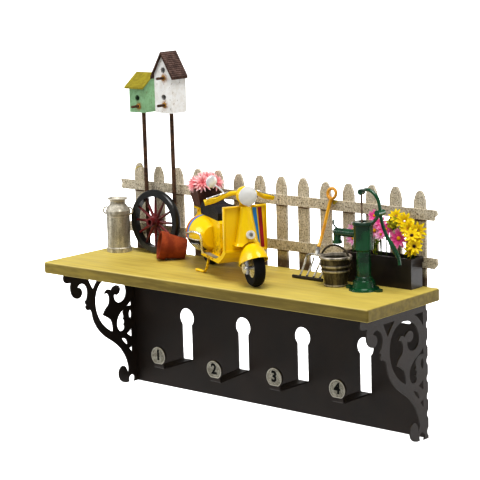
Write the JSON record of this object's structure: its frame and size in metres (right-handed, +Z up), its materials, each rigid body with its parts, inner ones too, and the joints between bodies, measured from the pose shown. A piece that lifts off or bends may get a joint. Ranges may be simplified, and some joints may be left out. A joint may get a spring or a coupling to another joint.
{
  "type": "wall shelf with hooks",
  "caption": "Wall shelf with key hooks: a folded, laser-cut steel bracket frame carries a stained board with a toy fence, bird houses, scooter, hand pump and flower trough.",
  "frame": {"origin": "middle of the two hanging slots, on the wall plane at the rear face of the steel back plate", "axes": "+Z up, +X along the board to the right as seen from the front, +Y into the wall, so the shelf reaches towards -Y"},
  "size_m": [0.342, 0.0943, 0.2951],
  "materials": {
    "frame_steel": "satin",
    "board_wood": "satin",
    "screw_steel": "satin",
    "badge_paint": "gloss",
    "fence_wood": "matte",
    "pole_rust": "matte",
    "green_paint": "matte",
    "green_roof_paint": "matte",
    "white_paint": "matte",
    "white_roof_stain": "matte",
    "perch_wood": "matte",
    "can_pewter": "satin",
    "wheel_black": "satin",
    "wheel_red": "satin",
    "terracotta": "matte",
    "scooter_yellow": "gloss",
    "scooter_tyre": "matte",
    "scooter_chrome": "gloss",
    "lamp_white": "gloss",
    "seat_black": "matte",
    "basket_maroon": "matte",
    "flower_pink": "matte",
    "bucket_pewter": "satin",
    "pump_green": "gloss",
    "rod_bronze": "satin",
    "fork_yellow": "gloss",
    "fork_steel": "satin",
    "planter_brown": "satin",
    "flower_mixed": "matte"
  },
  "bodies": {
    "root": {"board_screws": "screw_steel", "bucket": "bucket_pewter", "bucket_bail": "bucket_pewter", "clay_pot": "terracotta", "fork_handle": "fork_yellow", "fork_head": "fork_steel", "green_house_body": "green_paint", "green_house_roof": "green_roof_paint", "house_perches": "perch_wood", "milk_can": "can_pewter", "number_badge_1": "badge_paint", "number_badge_2": "badge_paint", "number_badge_3": "badge_paint", "number_badge_4": "badge_paint", "picket_01": "fence_wood", "picket_02": "fence_wood", "picket_03": "fence_wood", "picket_04": "fence_wood", "picket_05": "fence_wood", "picket_06": "fence_wood", "picket_07": "fence_wood", "picket_08": "fence_wood", "picket_09": "fence_wood", "picket_10": "fence_wood", "picket_11": "fence_wood", "picket_12": "fence_wood", "picket_13": "fence_wood", "picket_14": "fence_wood", "planter_box": "planter_brown", "planter_flowers": "flower_mixed", "pole_left": "pole_rust", "pole_right": "pole_rust", "pump_body": "pump_green", "pump_handle": "pump_green", "pump_rod": "rod_bronze", "rail_bottom": "fence_wood", "rail_top": "fence_wood", "scooter_basket": "basket_maroon", "scooter_body": "scooter_yellow", "scooter_cowl_left": "scooter_yellow", "scooter_cowl_right": "scooter_yellow", "scooter_flowers": "flower_pink", "scooter_fork": "scooter_chrome", "scooter_front_fender": "scooter_yellow", "scooter_front_tyre": "scooter_tyre", "scooter_guard_bar": "scooter_chrome", "scooter_handlebar": "scooter_yellow", "scooter_headlamp": "lamp_white", "scooter_horn": "lamp_white", "scooter_mirror": "scooter_chrome", "scooter_rack": "scooter_yellow", "scooter_rear_tyre": "scooter_tyre", "scooter_seat": "seat_black", "scooter_stand": "scooter_yellow", "shelf_board": "board_wood", "steel_frame": "frame_steel", "wheel_spokes": "wheel_red", "wheel_tyre": "wheel_black", "white_house_body": "white_paint", "white_house_roof": "white_roof_stain"}
  },
  "joints": []
}
